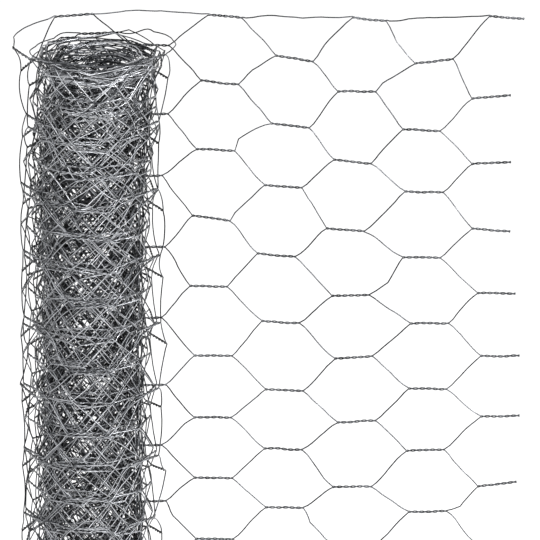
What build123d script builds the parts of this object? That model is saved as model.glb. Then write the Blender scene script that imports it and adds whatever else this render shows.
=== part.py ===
"""Roll of galvanised hexagonal wire netting, standing on end with its free end drawn out.

Millimetres, +Z up. The roll's axis is Z, its lower end stands on Z = 0, and the free end runs out
along +X behind the roll (+Y). Distances along the netting are counted from its cut free end.
The tightly wound turns are one turned solid with a bore, and a spiral groove shows the turns on
both ends. The two outer turns, which have sprung loose, and the drawn-out end are open netting:
one bar for each twisted pair of wires and one for each single wire.
"""

import math
import os

from build123d import *

# Netting
mesh_opening = 50.0
mesh_rows = 10
wire_diameter = 0.9
twist_length = 27.0
column_pitch = 51.0
bar_sides = 4

# Roll
core_diameter = 88.0
bore_diameter = 24.0
end_land = 30.0
end_flare = 6.0
end_flare_length = 60.0
shown_turns = 6
turn_sides = 8
turn_gap = 1.0
turn_gap_depth = 3.0

# Loose turns and drawn-out end
seat_clearance = 0.3
free_columns = 6
last_column = 15
free_end_stand_off = 16.0
free_end_raise = 10.0
outer_turn_stand_off = 6.5
inner_turn_stand_off = 3.5
edge_flare_length = 75.0

# How far the edges of the netting stand out from its middle, half-way round each loose half turn:
# the outer one on the left, the next on the right and the last on the left.
EDGE_FLARES = (2.0, 9.0, 0.0)

# How each twist of the drawn-out end is pulled off its place in a regular mesh: towards the free
# end and down, in millimetres, and its slope down to the free end, in degrees. One row for each
# column from the free end, from the top edge down. Twists further down keep their place.
PULLED = (
    ((7, 2, 3), (-4, 13, -5), (-4, 13, -3), (-4, 14, 6), (0, 12, 2), (3, 10, 0), (3, 6, -2), (1, 8, -6)),
    ((6, 11, -7), (-3, 13, 3), (-1, 10, 1), (-3, 10, 0), (3, 10, -1), (2, 10, 0), (0, 7, -1), (2, 4, -2)),
    ((10, 3, 5), (1, 9, 0), (-2, 12, 6), (-7, 14, 6), (-3, 14, -1), (-1, 11, -4), (1, 10, -3), (-2, 10, 0)),
    ((7, 9, 9), (4, 10, 8), (-1, 6, 5), (-6, 8, 6), (-3, 9, 3), (0, 11, 4), (-1, 6, 2), (0, 1, 0)),
    ((8, 0, 6), (4, 2, 7), (1, 3, 3), (-2, 5, 8), (-4, 7, 2), (-1, 10, 2), (-1, 7, 0), (-1, 3, 1)),
    ((5, -1, 0), (4, 1, 0), (0, -2, 0), (2, 2, 0), (-1, 6, 0), (2, 7, 0), (-1, 3, 0), (2, -4, 0)),
)

# Worked out
twist_diameter = 2 * wire_diameter
netting_width = mesh_rows * mesh_opening + twist_diameter
core_radius = core_diameter / 2
bore_radius = bore_diameter / 2
seat_radius = core_radius + seat_clearance + twist_diameter / 2
free_end_depth = core_radius + free_end_stand_off
outer_turn_front = core_radius + outer_turn_stand_off
inner_turn_back = core_radius + inner_turn_stand_off

# The netting crosses the Y axis at these places, and is an arc between each and the next. The last
# place is where the last column of twists rests against the ends of the wound turns.
half_turn_stops = (free_end_depth, -outer_turn_front, inner_turn_back, -seat_radius)
half_turn_radii = [abs(a - b) / 2 for a, b in zip(half_turn_stops, half_turn_stops[1:])]
path_length = twist_length / 2 + last_column * column_pitch
straight_length = path_length - math.pi * sum(half_turn_radii)


def on_path(along, drop):
    """Plan position and outward direction of the netting, at a distance along it from the free end
    and a distance down from its top edge."""
    if along <= straight_length:
        return Vector(straight_length - along, free_end_depth), Vector(0, 1)
    rest = along - straight_length
    turn = 0
    while turn < len(half_turn_radii) - 1 and rest > math.pi * half_turn_radii[turn]:
        rest -= math.pi * half_turn_radii[turn]
        turn += 1
    radius = half_turn_radii[turn]
    middle = (half_turn_stops[turn] + half_turn_stops[turn + 1]) / 2
    angle = math.pi * (turn + 0.5) + rest / radius
    outward = Vector(math.cos(angle), math.sin(angle))
    from_edge = min(drop, mesh_rows * mesh_opening - drop)
    nearness = min(max(1 - from_edge / edge_flare_length, 0), 1)
    flare = EDGE_FLARES[turn] * nearness**2 * math.sin(rest / radius)
    return Vector(0, middle) + outward * (radius + flare), outward


def raised(along):
    """How far the netting stands above the roll's ends: the outer turn climbs to the free end."""
    outer_half_turn = math.pi * half_turn_radii[0]
    share = (straight_length + outer_half_turn - along) / outer_half_turn
    return free_end_raise * min(max(share, 0), 1)


def column_middle(column):
    return twist_length / 2 + column * column_pitch


def joint_ends(column, position):
    """Both ends of the twist or straight edge wire at a place in a column, nearer the free end first.

    Positions count half meshes down from the top edge. Columns with an even number have their
    twists on the even positions, edges included, and the other columns on the odd ones.
    """
    row = position // 2
    pulled_out, pulled_down, slope = 0, 0, 0
    if is_twist(column, position) and column < len(PULLED) and row < len(PULLED[column]):
        pulled_out, pulled_down, slope = PULLED[column][row]
    drop = position * mesh_opening / 2 + pulled_down
    plan, outward = on_path(column_middle(column) - pulled_out, drop)
    to_roll = Vector(-outward.Y, outward.X)
    top = netting_width - twist_diameter / 2 + raised(column_middle(column))
    middle = plan + Vector(0, 0, top - drop)
    half_run = to_roll * math.cos(math.radians(slope)) * twist_length / 2
    half_climb = Vector(0, 0, math.sin(math.radians(slope)) * twist_length / 2)
    return middle - half_run - half_climb, middle + half_run + half_climb


def is_twist(column, position):
    return column % 2 == position % 2


def positions(column):
    """The twists of a column from the top edge down, and the two edge wires that pass between them."""
    edges = {0, 2 * mesh_rows}
    return [p for p in range(2 * mesh_rows + 1) if is_twist(column, p) or p in edges]


def bar(start, end, diameter, outward, extra=0.0):
    """A straight bar of a few sides between two points, run past both ends by the extra length."""
    along = (end - start).normalized()
    facing = outward - along * outward.dot(along)
    foot = Plane(origin=start - along * extra, x_dir=facing, z_dir=along)
    section = foot * RegularPolygon(diameter / 2, bar_sides)
    return extrude(section, (end - start).length + 2 * extra, dir=along)


def column_bars(column):
    """The twisted pairs of one column, and the edge wires that run straight past it."""
    _, outward = on_path(column_middle(column), 0)
    bars = []
    for position in positions(column):
        start, end = joint_ends(column, position)
        diameter = twist_diameter if is_twist(column, position) else wire_diameter
        bars.append(bar(start, end, diameter, outward, extra=wire_diameter / 2))
    return bars


def bars_after(column, first_share=0.0, last_share=1.0):
    """The single wires from a column to the next one, or the stated share of their length."""
    _, outward = on_path(column_middle(column) + column_pitch / 2, 0)
    bars = []
    for position in positions(column):
        steps = (-1, 1) if is_twist(column, position) else (0,)
        for step in steps:
            next_position = min(max(position + step, 0), 2 * mesh_rows)
            start = joint_ends(column, position)[1]
            run = joint_ends(column + 1, next_position)[0] - start
            bars.append(bar(start + run * first_share, start + run * last_share, wire_diameter, outward))
    return bars


def free_end():
    """The flat netting drawn out from the roll, up to half-way to the first column of the roll."""
    bars = []
    for column in range(free_columns):
        last = column == free_columns - 1
        bars += column_bars(column)
        bars += bars_after(column, last_share=0.5 if last else 1.0)
    return bars[0].fuse(*bars[1:])


def loose_turns():
    """The outer turns of netting, which stand off the wound core until the last column rests on it."""
    bars = bars_after(free_columns - 1, first_share=0.5)
    for column in range(free_columns, last_column):
        bars += column_bars(column)
        bars += bars_after(column)
    bars += column_bars(last_column)
    return bars[0].fuse(*bars[1:])


def spiral(first_radius, pitch, turns):
    """A spiral about the roll's axis, with straight sides where the twisted pairs keep it flat."""
    points = []
    for corner in range(turns * turn_sides + 1):
        angle = 2 * math.pi * corner / turn_sides
        radius = first_radius + pitch * corner / turn_sides
        points.append((radius * math.cos(angle), radius * math.sin(angle)))
    return points


def turn_groove():
    """The open gap between neighbouring turns on one end of the roll, as a spiral slot to be cut."""
    pitch = (core_radius - bore_radius) / (shown_turns + 1)
    first = bore_radius + (pitch - turn_gap) / 2
    inner_edge = spiral(first, pitch, shown_turns)
    outer_edge = spiral(first + turn_gap, pitch, shown_turns)
    return make_face(Polyline(*inner_edge, *reversed(outer_edge), close=True))


def wound_profile():
    """Half section of the wound turns: full size along the first row of mesh at both ends, and
    drawn in between them."""
    middle_radius = core_radius - end_flare
    top = netting_width
    lower = TangentArc((middle_radius, end_land + end_flare_length), (core_radius, end_land), tangent=(0, -1))
    upper = mirror(lower, Plane.XZ.offset(-top / 2))
    inner_line = Polyline(lower @ 1, (core_radius, 0), (bore_radius, 0), (bore_radius, top), (core_radius, top), upper @ 1)
    return make_face(lower + Line(lower @ 0, upper @ 0) + upper + inner_line)


def wound_roll():
    """The tightly wound turns: a turned ring with its bore, and the spiral of turns on both ends."""
    body = revolve(Plane.XZ * wound_profile(), Axis.Z)
    groove = turn_groove()
    for floor in (0, netting_width - turn_gap_depth):
        body -= extrude(Pos(0, 0, floor) * groove, turn_gap_depth, dir=(0, 0, 1))
    return body


os.makedirs("parts", exist_ok=True)
export_step(wound_roll(), "parts/wound_roll.step")
export_step(loose_turns(), "parts/loose_turns.step")
export_step(free_end(), "parts/free_end.step")
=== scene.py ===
"""Roll of galvanised hexagonal wire netting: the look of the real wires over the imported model.

Lengths are in millimetres until the wires become meshes, which are in metres. The netting is laid
out flat first: distances along it are counted from the cut free end, and drops from its top edge.
Columns of twists are numbered from the free end, and the places in a column are counted in half
meshes from the top edge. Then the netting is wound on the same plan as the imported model, turn by
turn down to the bore.
"""
import math

import bpy
import numpy as np
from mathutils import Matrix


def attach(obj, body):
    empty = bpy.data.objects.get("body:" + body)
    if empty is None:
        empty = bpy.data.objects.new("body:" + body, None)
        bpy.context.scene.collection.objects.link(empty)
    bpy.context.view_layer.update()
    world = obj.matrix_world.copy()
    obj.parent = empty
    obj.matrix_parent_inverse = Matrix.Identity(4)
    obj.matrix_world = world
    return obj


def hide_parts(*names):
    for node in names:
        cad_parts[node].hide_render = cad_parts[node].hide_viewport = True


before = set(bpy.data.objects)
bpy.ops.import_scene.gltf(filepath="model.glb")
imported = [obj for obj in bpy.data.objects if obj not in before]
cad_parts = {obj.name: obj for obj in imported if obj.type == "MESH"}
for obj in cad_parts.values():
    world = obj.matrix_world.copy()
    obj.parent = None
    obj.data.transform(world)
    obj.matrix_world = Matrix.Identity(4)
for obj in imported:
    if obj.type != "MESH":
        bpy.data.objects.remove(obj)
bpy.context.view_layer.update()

MM = 0.001

# Netting
MESH = 50.0
ROWS = 10
PITCH = 51.0
WIRE = 0.9
TWIST = 27.0
TWIST_TURNS = 3
LENGTH = 10000.0
COLUMNS = int(LENGTH / PITCH)
EDGE = 2 * ROWS
WIDTH = ROWS * MESH

# The open netting as the photo shows it: thicker wires, with their zinc, longer twists, but shorter
# ones along the free end's top edge, and a free end that sags by a share of its depth and is drawn
# out a little less. No wire's middle comes nearer the floor than LOWEST.
OPEN_WIRE = 1.0
OPEN_TWIST = 28.7
TOP_TWIST = 25.5
SAG = 0.006
FREE_SHIFT = 0.5
LOWEST = 1.6

# Winding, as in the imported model
CORE_R = 44.0
FREE_COLUMNS = 6
LOOSE_COLUMNS = 16
SEAT_R = CORE_R + 0.3 + WIRE
STOPS = (CORE_R + 16.0, -CORE_R - 6.5, CORE_R + 3.5, -SEAT_R)
FREE_RAISE = 10.0
EDGE_FLARES = (2.0, 9.0, 0.0)
EDGE_FLARE_LENGTH = 75.0
RADII = np.array([abs(a - b) / 2 for a, b in zip(STOPS, STOPS[1:])])
CENTRES = np.array([(a + b) / 2 for a, b in zip(STOPS, STOPS[1:])])
LOOSE_END = TWIST / 2 + (LOOSE_COLUMNS - 1) * PITCH
STRAIGHT = LOOSE_END - math.pi * RADII.sum()
FLAT_RADIUS = 1000.0

# Inside the loose turns, the radius that each stretch of the netting winds down to, and its pitch.
# The turns lie a little outside these radii.
WINDINGS = ((42.0, 0.6), (38.2, 0.38), (28.0, 0.5), (8.0, 1.25))
TURN_OFFSET = 1.0

# Form of the close turns: how far they are drawn in at the waist, over what lengths they flare out
# of it, at both ends and more slowly at the top, and how far they spread inward at the ends. What
# share of the waist and of the spread a turn takes goes by its radius.
WAIST = 6.4
WAIST_BY_RADIUS = ((8, 28, 42, 45), (0, 1, 1, 0.1))
END_FLARE_LENGTH = 90.0
TOP_FLARE_LENGTH = 160.0
TOP_FLARE_POWER = 1.5
END_SPREAD = 6.0
SPREAD_BY_RADIUS = ((8, 38, 46), (0, 1, 0))

# How far the loose turns, the core and the whole top end stand to the right of the roll's axis, and
# the columns over which the first and the second of these set in
LOOSE_SHIFT = -3.0
CORE_SHIFT = -2.0
TOP_SHIFT = 4.0
LOOSE_SHIFT_COLUMNS = 3
CORE_SHIFT_COLUMNS = 25

# The outer turn's left side is flatter by this share, except near the netting's edges
LEFT_FLATTENED = 0.09
LEFT_EDGE = 25.0

# Disorder of the wound netting. In each pair, the first is the spread of offsets that change slowly
# from twist to twist, and the second that of each twist's own offset: along the netting, down it,
# slope in degrees, out of the turn, and how high the turn stands.
ALONG_DISORDER = (3.4, 0.8)
DROP_DISORDER = (3.4, 0.9)
SLOPE_DISORDER = (4.0, 3.0)
OUT_DISORDER = (0.9, 0.6)
CLIMB_DISORDER = (5.0, 1.5)
SPRUNG_DISORDER = 0.9
EDGE_DISORDER = 0.6

# Over how many columns and places the slow offsets change: of a twist's place, of its slope, of its
# place deep in the roll, and of a whole column's height
PLACE_SPANS = (4, 3)
SLOPE_SPANS = (1, 2)
DEEP_SPANS = (2, 3)
HEIGHT_SPANS = (2, 40)

# What belongs to the drawn-out end gives way to what belongs to the loose turns over EASE_COLUMNS.
# The disorder grows over some more, and again deep in the roll.
EASE_COLUMNS = 2
GROWTH_COLUMNS = 6
DEEP_COLUMN = 88
DEEP_GROWTH_COLUMNS = 15
DEEP_ALONG = 8.0
DEEP_DROP = 4.5
DEEP_EDGE_PLACES = 3

# The first close turn comes to stand out of its place over the last columns of the loose turns, and
# settles into it over the columns that follow. It and the few columns before it climb no higher
# than a limit. Further in, the turns sink below the rim.
FIRST_TURN_OUT = 2.5
FIRST_TURN_RISE = 3
FIRST_TURN_COLUMNS = 8
FIRST_TURN_LEAD = 4
FIRST_TURN_CLIMB = 1.5
SUNK = 12.0
SUNK_AFTER = 25
SUNK_COLUMNS = 80

# A twist keeps straight where the turns are wide, and follows the turn more and more near the bore
STIFFNESS = (0.1, 0.85)
LIMP_RADIUS = 14.0
STIFF_GROWTH = 24.0

# Single wires: the share of the turn's curve that they follow, the mean and spread of their slack,
# and the spreads of their bending to both sides and of their leaning to one. The last two values
# say how much greater slack and bends are in the loose turns, and the one before them how much less
# the slack is in the close turns.
EDGE_FOLLOWS = 0.95
FOLLOWS = 0.55
SLACK = (0.3, 0.4)
BEND = 0.25
LEAN = 0.3
CLOSE_SLACK = 0.5
SPRUNG_SLACK = 2.6
SPRUNG_BEND = 3.0

# How far the wires of a pair lie off its middle, as a share of their thickness. After a twist they
# come apart over one part in so many of their length as single wires.
CLOSE_PAIR = 0.5
OPEN_PAIR = 0.6
COMES_APART = 6

# Small kinks: their size in the drawn-out end and in the roll, and their spacing. Noise keeps near
# its middle value, so that only the gain brings the kinks to their full size.
FREE_KINK = 0.5
ROLL_KINK = 0.25
KINK_SPACING = 14.0
KINK_GAIN = 4.0
KINK_SEED = 3
NOISE_MIDDLE = 0.5
NOISE_LOW, NOISE_HIGH = 0.3, 0.7

# Brightness of the zinc, from 0, dull, to 1, bright, by distance from the roll's axis: dull in the loose
# turns, brightest a little inside them, and darker again deeper in, which is painted shade; and how much
# painted highlight its outward side takes
ZINC_RADII = (26.0, 31.0, 36.0, 46.0, 60.0)
ZINC_AND_SHADE_LEVELS = (0.14, 0.22, 0.28, 0.08, 0.1)
HIGHLIGHT_LEVELS = (0.1, 0.5, 0.95, 0.95, 0.4)

# Near the top the wires differ more from each other. Inside the rim they are lighter all over, which is
# painted light from the open top, and take less painted highlight: the last line has the share of their
# painted highlight by distance from the roll's axis.
TOP_CONTRAST = 1.6
TOP_CONTRAST_DEPTH = 70.0
RIM_DEPTH = 40.0
RIM_PAINTED_LIGHT = 0.3
RIM_INSIDE = 42.0
RIM_GROWTH = 6.0
RIM_HIGHLIGHT = ((43, 46), (0.6, 1.0))

# In the drawn-out end, painted light by how the wires lie to the lamps: single wires that fall to the right
# get a painted highlight, those that rise to the right painted shade, and twists a painted glint
FALLING_HIGHLIGHT = 0.3
RISING_SHADE = 0.1
TWIST_GLINT = 0.17

# How each twist of the drawn-out end is pulled off its place: towards the free end and down, and
# its slope down to the free end in degrees. Columns from the free end, rows from the top edge.
PULLED = (
    ((7, 3, 5), (-4, 13, -5), (-4, 13, -3), (-4, 14, 6), (0, 12, 2), (3, 10, 0), (3, 6, -2), (1, 8, -6),
     (0, 4, 0)),
    ((6, 11, -7), (-3, 13, 3), (-1, 10, 1), (-3, 10, 0), (3, 10, -1), (2, 10, 0), (0, 7, -1), (2, 4, -2)),
    ((10, 4.5, 6), (1, 9, 0), (-2, 12, 6), (-7, 14, 6), (-3, 14, -1), (-1, 11, -4), (1, 10, -3),
     (-2, 10, 0), (0, 6, 0)),
    ((7, 9, 9), (4, 10, 8), (-1, 6, 5), (-6, 8, 6), (-3, 9, 3), (0, 11, 4), (-1, 6, 2), (0, 1, 0)),
    ((8, 2, 5), (4, 2, 7), (1, 3, 3), (-2, 5, 8), (-4, 7, 2), (-1, 10, 2), (-1, 7, 0), (-1, 3, 1)),
    ((5, -1, 0), (4, 1, 0), (0, -2, 0), (2, 2, 0), (-1, 6, 0), (2, 7, 0), (-1, 3, 0), (2, -4, 0)),
)

# The same, but down and slope alone, for the single wire along the top edge, by column
EDGE_PULLED = {1: (3.3, -2.7), 3: (2.4, 4.6), 5: (-2.2, 0.0)}

# Bends in single wires of the drawn-out end: wire and column, share of its length, and how far the
# bend stands to the right of and above the straight line
BENDS = ((4, 3, 0.875, -0.8, 6.5), (2, 1, 0.875, 0.8, 3.8), (2, 3, 0.625, 0.0, 2.6),
         (1, 2, 0.5, -2.8, 0.0), (1, 1, 0.5, -2.8, 0.0), (6, 3, 0.875, 0.0, 2.8),
         (8, 1, 0.625, 3.8, -1.0), (15, 0, 0.625, 1.0, -3.5), (16, 2, 0.625, -4.5, 0.0),
         (16, 4, 0.625, -3.0, 0.0))

# One piece for each stretch of the netting: its name, the solid that it replaces, its material slot,
# its first column and the one after its last, steps along each twist and each single wire, sides of
# a round wire, and how much the brightness differs from wire to wire
PIECES = (
    ("netting_free_end", "free_end", "galvanised_wire", 0, FREE_COLUMNS, 24, 8, 6, 0.06),
    ("netting_loose_turns", "loose_turns", "galvanised_wire", FREE_COLUMNS, LOOSE_COLUMNS, 24, 8, 6, 0.1),
    ("netting_wound_1", "wound_roll", "galvanised_netting", LOOSE_COLUMNS, 48, 14, 7, 6, 0.18),
    ("netting_wound_2", "wound_roll", "galvanised_netting", 48, 80, 14, 7, 6, 0.18),
    ("netting_wound_3", "wound_roll", "galvanised_netting", 80, 137, 10, 5, 4, 0.18),
    ("netting_wound_4", "wound_roll", "galvanised_netting", 137, COLUMNS - 1, 10, 5, 4, 0.18),
)

# Zinc: colours from dull zinc and painted shade to bright zinc and painted highlight, roughness from the
# smoothest to the dullest run, spacing of its runs and of its grain, depth of the grain, and how squarely a
# side faces out at least to take the painted highlight
DULL_ZINC_AND_SHADE, PLAIN_ZINC, BRIGHT_ZINC_AND_HIGHLIGHT = "#26282a", "#64666a", "#d0d2d6"
SMOOTH, ROUGH = 0.2, 0.42
RUN_SPACING = 9.0
GRAIN_SPACING = 1.2
GRAIN_DEPTH = 0.15
GRAIN_STRENGTH = 0.35
FACES_OUT = 0.82

# White surround: half the width of the floor in metres, its colour and glow, and how bright the
# surround is to the eye and the metal, and to everything else
FLOOR_REACH = 60.0
FLOOR_WHITE = "#e6e6e6"
FLOOR_GLOW = 0.6
WHITE = (1, 1, 1, 1)
SEEN_LIGHT, OTHER_LIGHT = 1.0, 0.4

# The lights: name, place and what it is aimed at in metres, width in metres, and power in watts
LIGHTS = (("key_softbox", (2.3, -1.6, 1.6), (0.1, 0, 0.3), 1.0, 80),
          ("fill_softbox", (-0.6, -2.8, 1.5), (0.1, 0, 0.3), 1.2, 45))

# The camera looks along +Y and down, through a long lens, so that the netting's sides stay parallel
VIEW_DOWN = math.radians(19)
VIEW_WIDTH = 389.6
VIEW_MIDDLE = (127.7, 0.0, 335.9)
LENS = 1600.0
SENSOR = 36.0
FAR_CLIP = 200.0

dice = np.random.default_rng(11)


def rise(value, length):
    """0 where the value is below zero, rising evenly to 1 at the length and beyond."""
    return np.clip(value / length, 0, 1)


def fade(value, length):
    """1 where the value is below zero, falling evenly to 0 at the length and beyond."""
    return np.clip(1 - value / length, 0, 1)


def drift(over_columns, over_rows):
    """Random offsets of spread 1 for every place in every column, which change slowly, over so many
    columns and rows of places. At 0 and 0 each place has its own."""
    field = dice.normal(size=(COLUMNS, EDGE + 1))
    for axis, span, mode in ((0, over_columns, "reflect"), (1, over_rows, "symmetric")):
        if span:
            tail = 3 * span
            kernel = np.exp(-0.5 * (np.arange(-tail, tail + 1) / span) ** 2)
            pad = [(0, 0), (0, 0)]
            pad[axis] = (tail, tail)
            padded = np.pad(field, pad, mode=mode)
            field = np.apply_along_axis(np.convolve, axis, padded, kernel, mode="valid")
    return field / field.std()


def disorder(spreads, spans):
    """Random offsets of two parts: one that changes slowly, and one of each place's own."""
    slow, own = spreads
    return slow * drift(*spans) + own * drift(0, 0)


def lay_out():
    """The netting laid out flat. For every place in every column: the twist's distance along, drop,
    slope, length, and how far it stands out of its turn. For every column: how far it is lifted."""
    column, place = np.meshgrid(np.arange(COLUMNS), np.arange(EDGE + 1), indexing="ij")
    wound = rise(column - FREE_COLUMNS, GROWTH_COLUMNS)
    along = TWIST / 2 + column * PITCH + wound * disorder(ALONG_DISORDER, PLACE_SPANS)
    drop = place * MESH / 2 + wound * disorder(DROP_DISORDER, PLACE_SPANS)
    slope = np.radians(wound * disorder(SLOPE_DISORDER, SLOPE_SPANS))
    deep = rise(column - DEEP_COLUMN, DEEP_GROWTH_COLUMNS)
    along += deep * DEEP_ALONG * drift(*DEEP_SPANS)
    off_edge = rise(np.minimum(place, EDGE - place), DEEP_EDGE_PLACES)
    drop += deep * off_edge * DEEP_DROP * drift(*DEEP_SPANS)

    sprung = rise(column - FREE_COLUMNS, EASE_COLUMNS) * (column < LOOSE_COLUMNS)
    slow, own = OUT_DISORDER
    stand_out = wound * slow * drift(*PLACE_SPANS)
    stand_out += (own * wound + SPRUNG_DISORDER * sprung) * drift(0, 0)
    settling = np.exp(-np.clip(column - LOOSE_COLUMNS, 0, None) / FIRST_TURN_COLUMNS)
    stand_out += FIRST_TURN_OUT * rise(column - LOOSE_COLUMNS + FIRST_TURN_RISE, FIRST_TURN_RISE) * settling

    for edge in (0, EDGE):
        drop[:, edge] = edge * MESH / 2 + wound[:, edge] * EDGE_DISORDER * dice.normal(size=COLUMNS)
    for number, rows in enumerate(PULLED):
        for row, (out, down, tilt) in enumerate(rows):
            twist = number, 2 * row + number % 2
            along[twist] -= out
            drop[twist] += down
            slope[twist] = math.radians(tilt)
    along[:FREE_COLUMNS] += FREE_SHIFT
    for number, (down, tilt) in EDGE_PULLED.items():
        drop[number, 0] += down
        slope[number, 0] = math.radians(tilt)

    run = np.full_like(along, TWIST)
    run[:LOOSE_COLUMNS] = OPEN_TWIST
    run[:FREE_COLUMNS, 0] = TOP_TWIST

    slow, own = CLIMB_DISORDER
    climb = slow * drift(*HEIGHT_SPANS)[:, 0] + own * drift(0, HEIGHT_SPANS[1])[:, 0]
    first_turn = slice(LOOSE_COLUMNS - FIRST_TURN_LEAD, LOOSE_COLUMNS + FIRST_TURN_COLUMNS)
    climb[first_turn] = np.minimum(climb[first_turn], FIRST_TURN_CLIMB)
    sunk = SUNK * rise(np.arange(COLUMNS) - LOOSE_COLUMNS - SUNK_AFTER, SUNK_COLUMNS) ** 0.5
    return along, drop, slope, run, stand_out, climb - sunk


along, drop, slope, twist_run, stand_out, lift = lay_out()


def plan(distance, depth):
    """Plan position, outward direction and radius of the wound netting at distances along it."""
    distance = np.asarray(distance, dtype=float)
    from_edge = np.minimum(depth, WIDTH - depth)
    near_edge = fade(from_edge, EDGE_FLARE_LENGTH)
    near_end = fade(from_edge, END_FLARE_LENGTH)
    slow_flare = fade(depth, TOP_FLARE_LENGTH) ** TOP_FLARE_POWER
    tightened = WAIST * (1 - np.maximum(near_end**2, slow_flare))

    start = STRAIGHT
    stretches = []
    for turn, (radius, centre, flare) in enumerate(zip(RADII, CENTRES, EDGE_FLARES)):
        here = (distance > start) & (distance <= start + math.pi * radius)
        rest = (distance - start) / radius
        angle = math.pi * (turn + 0.5) + rest
        full = radius + flare * near_edge**2 * np.sin(np.clip(rest, 0, math.pi))
        flattened = LEFT_FLATTENED * (turn == 0) * rise(from_edge, LEFT_EDGE)
        x = full * np.cos(angle) * (1 - flattened)
        stretches.append((here, x, centre + full * np.sin(angle), angle, radius))
        start += math.pi * radius
    outer = SEAT_R
    turned = math.pi * (len(RADII) + 0.5)
    for inner, pitch in WINDINGS:
        length = math.pi * (outer**2 - inner**2) / pitch
        here = (distance > start) & (distance <= start + length)
        radius = np.sqrt(np.clip(outer**2 - pitch * (distance - start) / math.pi, 1.0, None))
        angle = turned + (outer - radius) * 2 * math.pi / pitch
        full = radius + TURN_OFFSET - tightened * np.interp(radius, *WAIST_BY_RADIUS)
        full = full - END_SPREAD * near_end**2 * np.interp(radius, *SPREAD_BY_RADIUS)
        stretches.append((here, full * np.cos(angle), full * np.sin(angle), angle, radius))
        turned += (outer - inner) * 2 * math.pi / pitch
        start += length
        outer = inner

    x = STRAIGHT - distance
    y = np.full_like(x, STOPS[0])
    out_x = np.zeros_like(x)
    out_y = np.ones_like(x)
    radius_here = np.full_like(x, FLAT_RADIUS)
    for here, turn_x, turn_y, angle, radius in stretches:
        x = np.where(here, turn_x, x)
        y = np.where(here, turn_y, y)
        out_x = np.where(here, np.cos(angle), out_x)
        out_y = np.where(here, np.sin(angle), out_y)
        radius_here = np.where(here, radius, radius_here)

    set_in = LOOSE_SHIFT_COLUMNS * PITCH
    into_roll = rise(distance - LOOSE_END + set_in, set_in)
    into_core = rise(distance - LOOSE_END, CORE_SHIFT_COLUMNS * PITCH)
    shift = LOOSE_SHIFT + (CORE_SHIFT - LOOSE_SHIFT) * into_core
    x = x + into_roll * (shift + (TOP_SHIFT - shift) * fade(depth, END_FLARE_LENGTH))
    return np.stack([x, y], -1), np.stack([out_x, out_y], -1), radius_here


def height(column, depth):
    """Height above the floor: turns stand a little higher or lower, and the free end is raised."""
    outer_half_turn = math.pi * RADII[0]
    middle = TWIST / 2 + column * PITCH
    raised = rise(STRAIGHT + outer_half_turn - middle, outer_half_turn)
    lifted = lift[column] * rise(column - FREE_COLUMNS, GROWTH_COLUMNS) * fade(depth, WIDTH) ** 3
    return WIDTH + WIRE + FREE_RAISE * raised + lifted - depth * (1 + SAG * raised)


def on_twist(column, place, t):
    """Points of a twist's middle line: t runs from -1, nearest the free end, to 1."""
    middle = along[column, place]
    depth = drop[column, place]
    tilt = slope[column, place]
    half = twist_run[column, place] / 2
    run = t * half * np.cos(tilt)
    foot, out, radius = plan(middle, depth)
    inward = np.stack([-out[..., 1], out[..., 0]], -1)
    straight = foot + inward * run[..., None]
    curved, _, _ = plan(middle + run, depth)
    stiff = np.clip((radius - LIMP_RADIUS) / STIFF_GROWTH, *STIFFNESS)
    single_on_edge = (place % EDGE == 0) & (column % 2 == 1)
    stiff = np.where(single_on_edge, STIFFNESS[0], stiff)
    flat = curved + (straight - curved) * stiff[..., None]
    flat = flat + out * stand_out[column, place][..., None]
    z = height(column, depth) + t * half * np.sin(tilt)
    return np.concatenate([flat, z[..., None]], -1), out


def place_of_wire(wire, column):
    """Where a wire passes a column: even columns pair 0-1, 2-3 and so on, odd ones 1-2, 3-4."""
    even = 2 * (wire // 2)
    odd = np.clip(2 * ((wire + 1) // 2) - 1, 0, EDGE)
    return np.where(column % 2 == 0, even, odd)


def bent_aside(s, first, shape):
    """How far the bent single wires stand off their straight lines at a share s of their length."""
    aside = np.zeros(shape + (3,))
    for wire, column, at, right, up in BENDS:
        if first <= column < first + shape[1]:
            aside[wire, column - first] = np.array([right, 0, up]) * min(s / at, (1 - s) / (1 - at))
    return aside


def in_space(flat_directions):
    """Directions in plan as level directions in space."""
    return np.concatenate([flat_directions, np.zeros(flat_directions.shape[:-1] + (1,))], -1)


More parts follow.
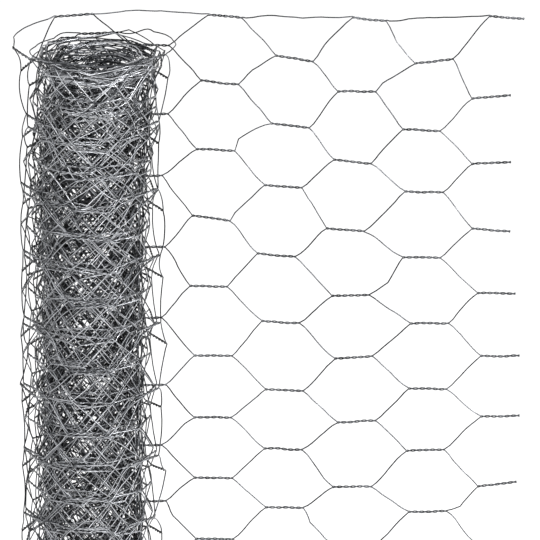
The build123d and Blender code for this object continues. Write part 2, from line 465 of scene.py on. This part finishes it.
def wire_lines(first, last, twist_steps, run_steps):
    """The middle line of every wire from column first to column last. For every point: where it is,
    its outward direction, how far it has turned round its partner, and how closely it is paired."""
    wires = np.arange(2 * ROWS + 2)
    wire, column = np.meshgrid(wires, np.arange(first, last), indexing="ij")
    ahead = column + 1
    place = place_of_wire(wire, column)
    next_place = place_of_wire(wire, ahead)
    single_on_edge = (column % 2 == 1) & ((wire == 0) | (wire == wires[-1]))
    paired = np.where(single_on_edge, 0.0, 1.0)
    own_side = np.where(wire % 2 == column % 2, 0.5, -0.5) * math.pi
    lines = [], [], [], []

    def add(*values):
        """Add one point to every wire in every column."""
        for line, value in zip(lines, values):
            line.append(value)

    for step in range(twist_steps + 1):
        point, out = on_twist(column, place, 2 * step / twist_steps - 1)
        add(point, out, 2 * math.pi * TWIST_TURNS * step / twist_steps + own_side, paired)

    start, start_out = point, out
    end, end_out = on_twist(ahead, next_place, -1.0)
    half_way = (along[column, place] + along[ahead, next_place]) / 2
    middle, middle_out, _ = plan(half_way, drop[column, place])
    follows = np.where((place % EDGE == 0) & (next_place % EDGE == 0), EDGE_FOLLOWS, FOLLOWS)
    slack = follows * ((middle - (start + end)[..., :2] / 2) * middle_out).sum(-1)
    close = column >= LOOSE_COLUMNS + FIRST_TURN_COLUMNS
    loose = rise(column - FREE_COLUMNS + 1, EASE_COLUMNS) * np.where(close, CLOSE_SLACK, 1.0)
    sprung = (column >= FREE_COLUMNS) & (column < LOOSE_COLUMNS)
    slack = slack + loose * dice.normal(*SLACK, size=wire.shape) * np.where(sprung, SPRUNG_SLACK, 1.0)
    bend = dice.normal(0, BEND, size=wire.shape) * np.where(sprung, SPRUNG_BEND, 1.0)
    lean = dice.normal(0, LEAN, size=wire.shape) * np.where(sprung, SPRUNG_BEND, 1.0)
    reach = end - start
    side = np.cross(in_space(middle_out), reach)
    side /= np.linalg.norm(side, axis=-1)[..., None]
    for step in range(1, run_steps):
        s = step / run_steps
        point = start + reach * s + bent_aside(s, first, wire.shape)
        point[..., :2] += middle_out * (slack * 4 * s * (1 - s))[..., None]
        aside = bend * math.sin(2 * math.pi * s) + lean * math.sin(math.pi * s)
        point = point + side * aside[..., None]
        out = start_out + (end_out - start_out) * s
        add(point, out, own_side, paired * max(0.0, 1 - s * COMES_APART))
    add(end, end_out, own_side, paired * 0.0)

    joined = []
    for line in lines:
        every = np.stack(line, 2)
        but_last = every[:, :, :-1].reshape(len(wires), -1, *every.shape[3:])
        joined.append(np.concatenate([but_last, every[:, -1, -1:]], 1))
    joined[0][..., 2] = np.maximum(joined[0][..., 2], LOWEST)
    return joined


def zinc_and_painted_light(points, direction, paired, first, twist_steps, run_steps, contrast):
    """Brightness of the zinc at every point, with painted shade deep in the roll and painted light inside
    the rim near the top and on the drawn-out end's wires, and how much painted highlight its outward side
    takes.
    """
    count, length = points.shape[:2]
    steps = twist_steps + run_steps
    from_axis = np.hypot(points[..., 0], points[..., 1])
    below_top = WIDTH - points[..., 2]

    # Each single wire has a level of its own, and changes over to the next one's along the twist
    starts = np.arange(length // steps) * steps
    changes_at = np.stack([starts, starts + twist_steps], -1).ravel()
    levels = dice.normal(size=(count, len(starts) + 1))
    levels = np.stack([levels[:, :-1], levels[:, 1:]], -1).reshape(count, -1)
    own = np.array([np.interp(np.arange(length), changes_at, row) for row in levels])
    contrast = contrast * (1 + TOP_CONTRAST * fade(below_top, TOP_CONTRAST_DEPTH))
    # Painted shade: the zinc level falls deep in the roll, by distance from its axis; each wire adds its
    # own random level
    brightness = np.interp(from_axis, ZINC_RADII, ZINC_AND_SHADE_LEVELS) + contrast * own - NOISE_MIDDLE
    # Painted light inside the rim near the top, which lifts the painted shade there
    brightness += RIM_PAINTED_LIGHT * fade(below_top, RIM_DEPTH) * rise(RIM_INSIDE - from_axis, RIM_GROWTH)

    # Leaning is negative where a wire falls to the right, and positive where it rises
    leaning = 2 * direction[..., 0] * direction[..., 2]
    column = first + np.arange(length) / steps
    # Painted highlight on drawn-out single wires that fall to the right, and painted shade on those that
    # rise
    drawn_out = rise(FREE_COLUMNS - 1 - column, EASE_COLUMNS) * (1 - paired)
    brightness -= drawn_out * np.where(leaning < 0, FALLING_HIGHLIGHT, RISING_SHADE) * leaning
    # Painted glint on the twists of the drawn-out end
    if first == 0:
        brightness += TWIST_GLINT * paired

    # How much painted highlight the outward side takes, by distance from the roll's axis, and less near the
    # top inside the rim
    least_highlight = np.interp(from_axis, *RIM_HIGHLIGHT)
    painted_highlight = np.interp(from_axis, ZINC_RADII, HIGHLIGHT_LEVELS)
    return brightness, painted_highlight * np.clip(below_top / RIM_DEPTH, least_highlight, 1)


def line_mesh(name, first, last, twist_steps, run_steps, contrast):
    """The wires' middle lines as a mesh of edges, with what the wires need to know at every point."""
    points, outs, turned, paired = wire_lines(first, last, twist_steps, run_steps)

    # The small numbers keep a step of no length from dividing by zero, and level wires on one side
    direction = np.gradient(points, axis=1)
    direction /= np.linalg.norm(direction, axis=-1)[..., None] + 1e-9
    outward = in_space(outs)
    outward /= np.linalg.norm(outward, axis=-1)[..., None]
    upward = np.cross(direction, outward)
    upward *= np.sign(upward[..., 2:3] + 1e-6)

    index = np.arange(turned.size).reshape(turned.shape)
    edges = np.stack([index[:, :-1], index[:, 1:]], -1).reshape(-1, 2)
    mesh = bpy.data.meshes.new(name)
    mesh.vertices.add(index.size)
    mesh.vertices.foreach_set("co", (points * MM).astype(np.float32).ravel())
    mesh.edges.add(len(edges))
    mesh.edges.foreach_set("vertices", edges.astype(np.int32).ravel())
    # brightness holds the zinc's random tone with painted shade and painted light; the second holds the
    # share of painted highlight on the outward side
    brightness, painted_highlight = zinc_and_painted_light(points, direction, paired, first, twist_steps, run_steps, contrast)
    for label, values in (("outward", outward), ("upward", upward)):
        layer = mesh.attributes.new(label, "FLOAT_VECTOR", "POINT")
        layer.data.foreach_set("vector", values.astype(np.float32).ravel())
    for label, values in (("turned", turned), ("paired", paired), ("brightness", brightness),
                          ("painted_highlight", painted_highlight)):
        layer = mesh.attributes.new(label, "FLOAT", "POINT")
        layer.data.foreach_set("value", values.astype(np.float32).ravel())
    mesh.update()
    return mesh


def linear(hex_colour):
    """An sRGB hex colour as a linear RGBA value."""
    parts = [int(hex_colour[i:i + 2], 16) / 255 for i in (1, 3, 5)]
    return [p / 12.92 if p <= 0.04045 else ((p + 0.055) / 1.055) ** 2.4 for p in parts] + [1.0]


def add_node(tree, kind, settings=None, **inputs):
    """Add a node, set its properties, and set or link its inputs by name (spaces as underscores)
    or by number (after an underscore)."""
    node = tree.nodes.new(kind)
    for key, value in (settings or {}).items():
        setattr(node, key, value)
    for key, value in inputs.items():
        socket = node.inputs[int(key[1:])] if key[1:].isdigit() else node.inputs[key.replace("_", " ")]
        if isinstance(value, bpy.types.NodeSocket):
            tree.links.new(value, socket)
        else:
            socket.default_value = value
    return node


def add_math(tree, operation, *values, kind="ShaderNodeMath"):
    """Add a math node on numbers, vectors or sockets, and return its result."""
    inputs = {f"_{number}": value for number, value in enumerate(values)}
    return add_node(tree, kind, {"operation": operation}, **inputs).outputs[0]


def add_vector_math(tree, operation, *values):
    """Add a math node whose result is a vector, and return it."""
    return add_math(tree, operation, *values, kind="ShaderNodeVectorMath")


def add_scaled(tree, vector, size):
    """Add a node that makes a vector longer or shorter, and return its result."""
    return add_node(tree, "ShaderNodeVectorMath", {"operation": "SCALE"}, _0=vector, Scale=size).outputs[0]


def wire_tree():
    """Turns middle lines into round wires: winds paired wires round each other and adds small kinks."""
    tree = bpy.data.node_groups.new("netting_wires", "GeometryNodeTree")
    ends = tree.interface
    ends.new_socket("Geometry", in_out="INPUT", socket_type="NodeSocketGeometry")
    for label, value in (("Wire diameter", WIRE * MM), ("Kink size", ROLL_KINK * MM),
                         ("Kink spacing", KINK_SPACING * MM), ("Twist spread", CLOSE_PAIR)):
        ends.new_socket(label, in_out="INPUT", socket_type="NodeSocketFloat").default_value = value
    for label, value in (("Sides", 4), ("Seed", KINK_SEED)):
        ends.new_socket(label, in_out="INPUT", socket_type="NodeSocketInt").default_value = value
    ends.new_socket("Material", in_out="INPUT", socket_type="NodeSocketMaterial")
    ends.new_socket("Geometry", in_out="OUTPUT", socket_type="NodeSocketGeometry")
    given = tree.nodes.new("NodeGroupInput").outputs

    def at_point(name, kind="FLOAT"):
        """What the middle lines say at every point."""
        node = add_node(tree, "GeometryNodeInputNamedAttribute", {"data_type": kind}, Name=name)
        return node.outputs[0]

    apart = add_math(tree, "MULTIPLY", given["Wire diameter"], given["Twist spread"])
    apart = add_math(tree, "MULTIPLY", apart, at_point("paired"))
    offsets = []
    for wave, way in (("COSINE", "outward"), ("SINE", "upward")):
        turned = add_math(tree, wave, at_point("turned"))
        size = add_math(tree, "MULTIPLY", turned, apart)
        offsets.append(add_scaled(tree, at_point(way, "FLOAT_VECTOR"), size))
    offset = add_vector_math(tree, "ADD", *offsets)

    place = add_node(tree, "GeometryNodeInputPosition").outputs[0]
    finer = add_math(tree, "DIVIDE", 1.0, given["Kink spacing"])
    noise = add_node(tree, "ShaderNodeTexNoise", {"noise_dimensions": "4D"}, Vector=place,
                     W=given["Seed"], Scale=finer, Detail=1.0)
    centred = add_vector_math(tree, "SUBTRACT", noise.outputs["Color"], (NOISE_MIDDLE,) * 3)
    kink = add_scaled(tree, centred, add_math(tree, "MULTIPLY", given["Kink size"], KINK_GAIN))
    moved = add_vector_math(tree, "ADD", offset, kink)

    radius = add_math(tree, "MULTIPLY", given["Wire diameter"], 0.5)
    lines = add_node(tree, "GeometryNodeSetPosition", Geometry=given["Geometry"], Offset=moved)
    curves = add_node(tree, "GeometryNodeMeshToCurve", Mesh=lines.outputs[0])
    ring = add_node(tree, "GeometryNodeCurvePrimitiveCircle", Resolution=given["Sides"], Radius=radius)
    tubes = add_node(tree, "GeometryNodeCurveToMesh", Curve=curves.outputs[0],
                     Profile_Curve=ring.outputs[0], Fill_Caps=True)
    smooth = add_node(tree, "GeometryNodeSetShadeSmooth", Geometry=tubes.outputs[0])
    real = add_node(tree, "GeometryNodeRealizeInstances", Geometry=smooth.outputs[0])
    finish = add_node(tree, "GeometryNodeSetMaterial", Geometry=real.outputs[0],
                      Material=given["Material"])
    tree.links.new(finish.outputs[0], tree.nodes.new("NodeGroupOutput").inputs[0])
    return tree


def galvanised_wire():
    """Drawn steel wire, hot-dip galvanised. The eye sees a dull grey metal with soft highlights and small
    uneven runs along the wire, a painted highlight on the side that faces out from the roll's axis, and
    painted shade deep in the roll."""
    material = bpy.data.materials.new("galvanised_drawn_wire")
    material.use_nodes = True
    tree = material.node_tree
    tree.nodes.clear()
    place = add_node(tree, "ShaderNodeTexCoord").outputs
    runs = add_node(tree, "ShaderNodeTexNoise", Vector=place["Object"], Scale=1 / (RUN_SPACING * MM),
                    Detail=3.0)
    level = add_node(tree, "ShaderNodeAttribute", {"attribute_name": "brightness"})
    mixed = add_math(tree, "ADD", runs.outputs[0], level.outputs["Fac"])

    # Painted highlight: the crest of each wire that faces out from the roll's axis is made brighter, by the
    # share in the attribute
    in_plan = add_vector_math(tree, "MULTIPLY", place["Object"], (1, 1, 0))
    from_axis = add_vector_math(tree, "NORMALIZE", in_plan)
    facing = add_node(tree, "ShaderNodeVectorMath", {"operation": "DOT_PRODUCT"}, _0=from_axis,
                      _1=place["Normal"])
    outside = add_node(tree, "ShaderNodeMapRange", {"interpolation_type": "SMOOTHSTEP"},
                       Value=facing.outputs["Value"], From_Min=FACES_OUT, From_Max=1.0)
    painted_highlight = add_node(tree, "ShaderNodeAttribute", {"attribute_name": "painted_highlight"})
    bright = add_math(tree, "MULTIPLY_ADD", outside.outputs[0], painted_highlight.outputs["Fac"], mixed)
    ramp = add_node(tree, "ShaderNodeValToRGB", Fac=bright)
    stops = ramp.color_ramp.elements
    stops[0].position, stops[0].color = 0.0, linear(DULL_ZINC_AND_SHADE)
    stops[1].position, stops[1].color = 1.0, linear(BRIGHT_ZINC_AND_HIGHLIGHT)
    stops.new(0.5).color = linear(PLAIN_ZINC)

    roughness = add_node(tree, "ShaderNodeMapRange", Value=runs.outputs[0], From_Min=NOISE_LOW,
                         From_Max=NOISE_HIGH, To_Min=SMOOTH, To_Max=ROUGH)
    grain = add_node(tree, "ShaderNodeTexNoise", Vector=place["Object"],
                     Scale=1 / (GRAIN_SPACING * MM), Detail=2.0)
    bump = add_node(tree, "ShaderNodeBump", Height=grain.outputs[0], Strength=GRAIN_STRENGTH,
                    Distance=GRAIN_DEPTH * MM)
    shader = add_node(tree, "ShaderNodeBsdfPrincipled", Base_Color=ramp.outputs["Color"], Metallic=1.0,
                      Roughness=roughness.outputs[0], Normal=bump.outputs[0])
    add_node(tree, "ShaderNodeOutputMaterial", Surface=shader.outputs[0])
    return material


def netting_piece(name, node, slot, first, last, twist_steps, run_steps, sides, contrast):
    """One stretch of the netting, finished as a plain mesh that rides with the model."""
    mesh = line_mesh(name + "_lines", first, last, twist_steps, run_steps, contrast)
    lines = bpy.data.objects.new(name + "_lines", mesh)
    bpy.context.collection.objects.link(lines)
    modifier = lines.modifiers.new("wires", "NODES")
    modifier.node_group = wires
    sockets = {item.name: item.identifier for item in wires.interface.items_tree if item.in_out == "INPUT"}
    modifier[sockets["Sides"]] = sides
    modifier[sockets["Kink size"]] = (FREE_KINK if node == "free_end" else ROLL_KINK) * MM
    modifier[sockets["Twist spread"]] = CLOSE_PAIR if node == "wound_roll" else OPEN_PAIR
    modifier[sockets["Wire diameter"]] = (WIRE if node == "wound_roll" else OPEN_WIRE) * MM
    modifier[sockets["Material"]] = zinc
    depsgraph = bpy.context.evaluated_depsgraph_get()
    solid = bpy.data.meshes.new_from_object(lines.evaluated_get(depsgraph), depsgraph=depsgraph)
    bpy.data.objects.remove(lines)
    bpy.data.meshes.remove(mesh)
    solid.name = name
    piece = bpy.data.objects.new(name, solid)
    bpy.context.collection.objects.link(piece)
    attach(piece, "root")
    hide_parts(node)
    return piece


def seen_light(tree):
    """The kinds of ray that meet the light, and 1 for those from the eye or off the metal."""
    path = add_node(tree, "ShaderNodeLightPath").outputs
    return path, add_math(tree, "MAXIMUM", path["Is Camera Ray"], path["Is Glossy Ray"])


def stage():
    """A pale studio floor, painted matt, that glows enough to look as white as the surround."""
    mesh = bpy.data.meshes.new("floor")
    corners = [(x * FLOOR_REACH, y * FLOOR_REACH, 0) for x, y in ((-1, -1), (1, -1), (1, 1), (-1, 1))]
    mesh.from_pydata(corners, [], [(0, 1, 2, 3)])
    floor = bpy.data.objects.new("floor", mesh)
    bpy.context.collection.objects.link(floor)
    material = bpy.data.materials.new("white_studio_floor")
    material.use_nodes = True
    tree = material.node_tree
    tree.nodes.clear()
    _, seen = seen_light(tree)
    level = add_math(tree, "MULTIPLY", seen, FLOOR_GLOW)
    glow = add_node(tree, "ShaderNodeEmission", Color=WHITE, Strength=level)
    matt = add_node(tree, "ShaderNodeBsdfDiffuse", Color=linear(FLOOR_WHITE))
    both = add_node(tree, "ShaderNodeAddShader", _0=glow.outputs[0], _1=matt.outputs[0])
    add_node(tree, "ShaderNodeOutputMaterial", Surface=both.outputs[0])
    mesh.materials.append(material)


def surround():
    """White to the eye and to the metal, and a plain grey light on everything else."""
    world = bpy.data.worlds.new("white_surround")
    bpy.context.scene.world = world
    world.use_nodes = True
    tree = world.node_tree
    tree.nodes.clear()
    path, seen = seen_light(tree)
    clear = add_math(tree, "MAXIMUM", seen, path["Is Transmission Ray"])
    level = add_node(tree, "ShaderNodeMapRange", Value=clear, To_Min=OTHER_LIGHT, To_Max=SEEN_LIGHT)
    light = add_node(tree, "ShaderNodeBackground", Color=WHITE, Strength=level.outputs[0])
    add_node(tree, "ShaderNodeOutputWorld", Surface=light.outputs[0])


def softbox(name, place, aim, size, power):
    """A square studio light, turned to face what it is aimed at."""
    lamp = bpy.data.lights.new(name, "AREA")
    lamp.size = size
    lamp.energy = power
    box = bpy.data.objects.new(name, lamp)
    bpy.context.collection.objects.link(box)
    box.location = place
    x, y, z = np.array(aim) - np.array(place)
    box.rotation_euler = (math.pi / 2 + math.atan2(z, math.hypot(x, y)), 0, math.atan2(y, x) - math.pi / 2)


def camera():
    """The photo's view of the roll, from so far away that the frame is as wide as the view."""
    data = bpy.data.cameras.new("camera")
    data.lens = LENS
    data.sensor_width = SENSOR
    data.clip_end = FAR_CLIP
    viewer = bpy.data.objects.new("camera", data)
    bpy.context.collection.objects.link(viewer)
    away = VIEW_WIDTH * LENS / SENSOR
    x, y, z = VIEW_MIDDLE
    y, z = y - away * math.cos(VIEW_DOWN), z + away * math.sin(VIEW_DOWN)
    viewer.location = (x * MM, y * MM, z * MM)
    viewer.rotation_euler = (math.pi / 2 - VIEW_DOWN, 0, 0)
    bpy.context.scene.camera = viewer


wires = wire_tree()
zinc = galvanised_wire()
for piece in PIECES:
    netting_piece(*piece)
stage()
surround()
for light in LIGHTS:
    softbox(*light)
camera()
bpy.context.scene.view_settings.view_transform = "Standard"
